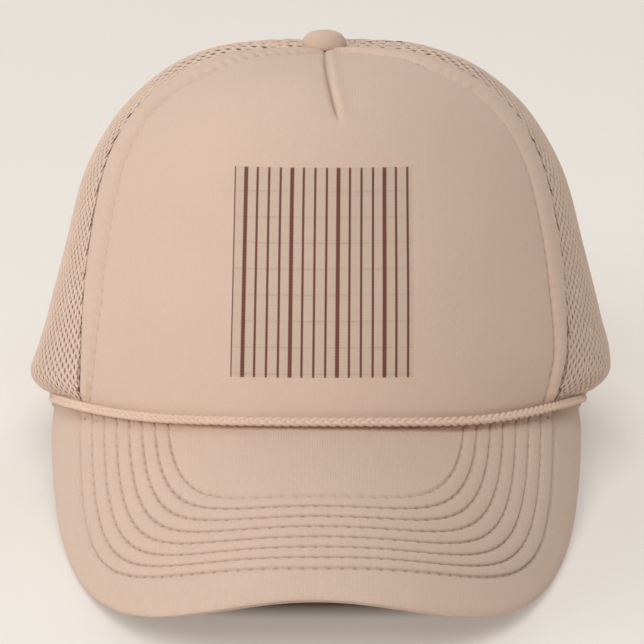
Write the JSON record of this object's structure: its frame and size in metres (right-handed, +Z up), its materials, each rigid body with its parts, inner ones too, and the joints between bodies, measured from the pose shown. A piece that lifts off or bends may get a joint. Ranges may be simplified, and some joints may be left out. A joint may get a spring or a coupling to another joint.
{
  "type": "trucker hat",
  "caption": "Foam-front trucker hat with net sides and back, a curved stitched bill, a rope along the bill's join, a covered button and an arched back opening with a strap.",
  "frame": {"origin": "the middle of the hat's footprint, on the surface that it stands on", "axes": "+Z up, -Y towards the bill, +X to a viewer's right when they face the front"},
  "size_m": [0.1878, 0.273, 0.1394],
  "materials": {
    "foam_cloth": "matt tan knit laminated on foam, with a striped panel printed on the front",
    "net": "tan polyester net with staggered long holes",
    "tape": "tan woven binding tape",
    "strap_plastic": "satin tan moulded plastic",
    "band_cloth": "tan brushed cloth",
    "bill_cloth": "matt tan fine ribbed cloth, sewn in rows",
    "rope": "tan braided cord"
  },
  "bodies": {
    "root": {"front_panel": "foam_cloth", "mesh_side_right": "net", "mesh_side_left": "net", "mesh_back_right": "net", "mesh_back_left": "net", "arch_binding": "tape", "back_strap": "strap_plastic", "sweatband": "band_cloth", "bill_top": "bill_cloth", "bill_under": "bill_cloth", "bill_rope": "rope", "top_button": "foam_cloth"}
  },
  "joints": []
}
